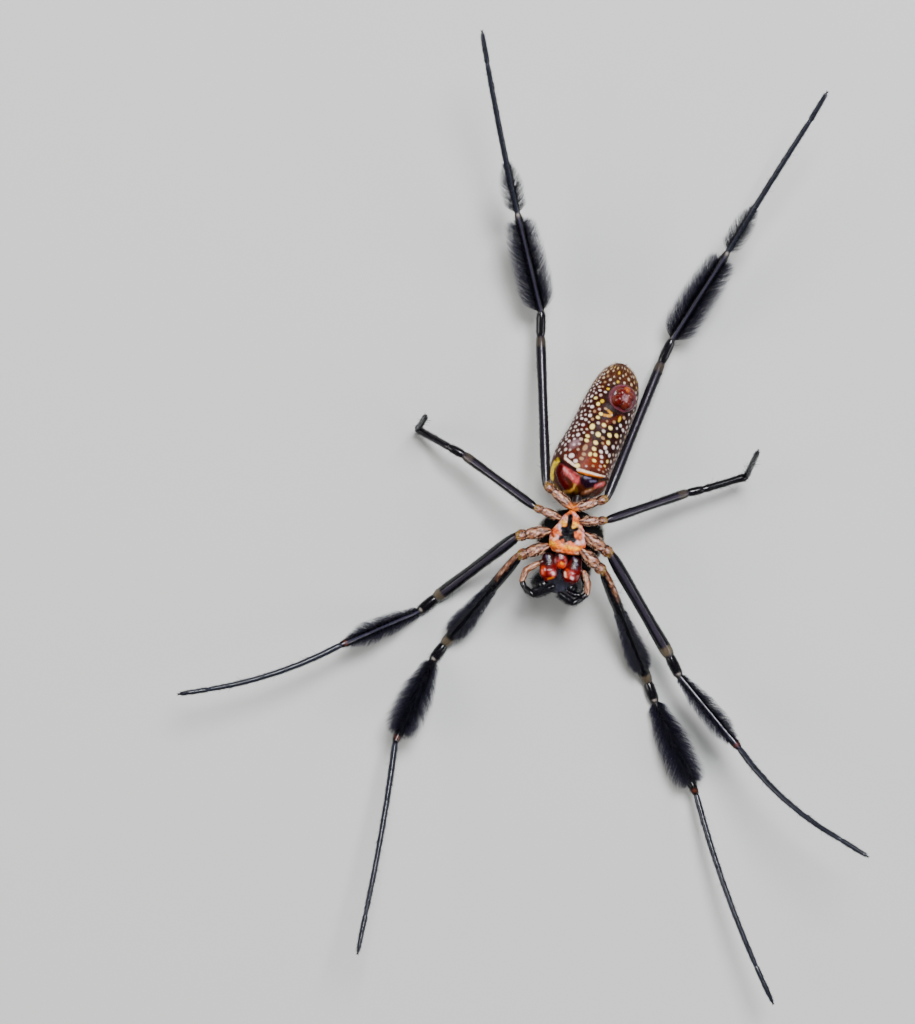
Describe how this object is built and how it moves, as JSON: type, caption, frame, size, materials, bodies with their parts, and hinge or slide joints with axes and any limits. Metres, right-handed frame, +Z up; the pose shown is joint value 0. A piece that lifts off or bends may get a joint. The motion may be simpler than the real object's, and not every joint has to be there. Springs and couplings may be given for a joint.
{
  "type": "golden silk orb weaver",
  "caption": "Still, life-size spider model lying belly up with its legs spread, a long spotted abdomen and black hair brushes on the front, second and rear legs.",
  "frame": {"origin": "middle of the spread legs' box, on the floor", "axes": "+Z up out of the belly, +Y towards the rear end, -Y towards the head, +X to the right of the picture"},
  "size_m": [0.0736, 0.1044, 0.0138],
  "materials": {
    "leg": "glossy black cuticle with bristles",
    "brush": "dense black hair",
    "foot": "satin slate-black cuticle with bristles",
    "coxa": "mottled tan cuticle",
    "carapace": "dark cuticle under short silvery hair",
    "sternum": "peach and orange cuticle with a dark mark",
    "abdomen": "red-brown skin with cream spots",
    "spinnerets": "translucent red-brown cuticle",
    "jaw": "shiny black",
    "maxilla": "glossy orange-red with a dark hairy edge",
    "eye": "glassy black"
  },
  "bodies": {
    "root": {"cephalothorax": "carapace", "sternum": "sternum", "abdomen": "abdomen", "spinnerets": "spinnerets", "chelicera_left": "jaw", "chelicera_right": "jaw", "fang_left": "jaw", "fang_right": "jaw", "maxilla_left": "maxilla", "maxilla_right": "maxilla", "palp_left": "foot", "palp_right": "foot", "eye_front_median_left": "eye", "eye_front_median_right": "eye", "eye_rear_median_left": "eye", "eye_rear_median_right": "eye", "eye_front_lateral_left": "eye", "eye_front_lateral_right": "eye", "eye_rear_lateral_left": "eye", "eye_rear_lateral_right": "eye", "leg_left_1_coxa": "coxa", "leg_left_1_femur": "leg", "leg_left_1_tibia": "brush", "leg_left_1_metatarsus": "foot", "leg_left_1_tarsus": "foot", "leg_left_2_coxa": "coxa", "leg_left_2_femur": "leg", "leg_left_2_tibia": "brush", "leg_left_2_metatarsus": "foot", "leg_left_2_tarsus": "foot", "leg_left_3_coxa": "coxa", "leg_left_3_femur": "leg", "leg_left_3_tibia": "leg", "leg_left_3_metatarsus": "foot", "leg_left_3_tarsus": "foot", "leg_left_4_coxa": "coxa", "leg_left_4_femur": "leg", "leg_left_4_tibia": "brush", "leg_left_4_metatarsus": "foot", "leg_left_4_tarsus": "foot", "leg_right_1_coxa": "coxa", "leg_right_1_femur": "leg", "leg_right_1_tibia": "brush", "leg_right_1_metatarsus": "foot", "leg_right_1_tarsus": "foot", "leg_right_2_coxa": "coxa", "leg_right_2_femur": "leg", "leg_right_2_tibia": "brush", "leg_right_2_metatarsus": "foot", "leg_right_2_tarsus": "foot", "leg_right_3_coxa": "coxa", "leg_right_3_femur": "leg", "leg_right_3_tibia": "leg", "leg_right_3_metatarsus": "foot", "leg_right_3_tarsus": "foot", "leg_right_4_coxa": "coxa", "leg_right_4_femur": "leg", "leg_right_4_tibia": "brush", "leg_right_4_metatarsus": "foot", "leg_right_4_tarsus": "foot"}
  },
  "joints": []
}
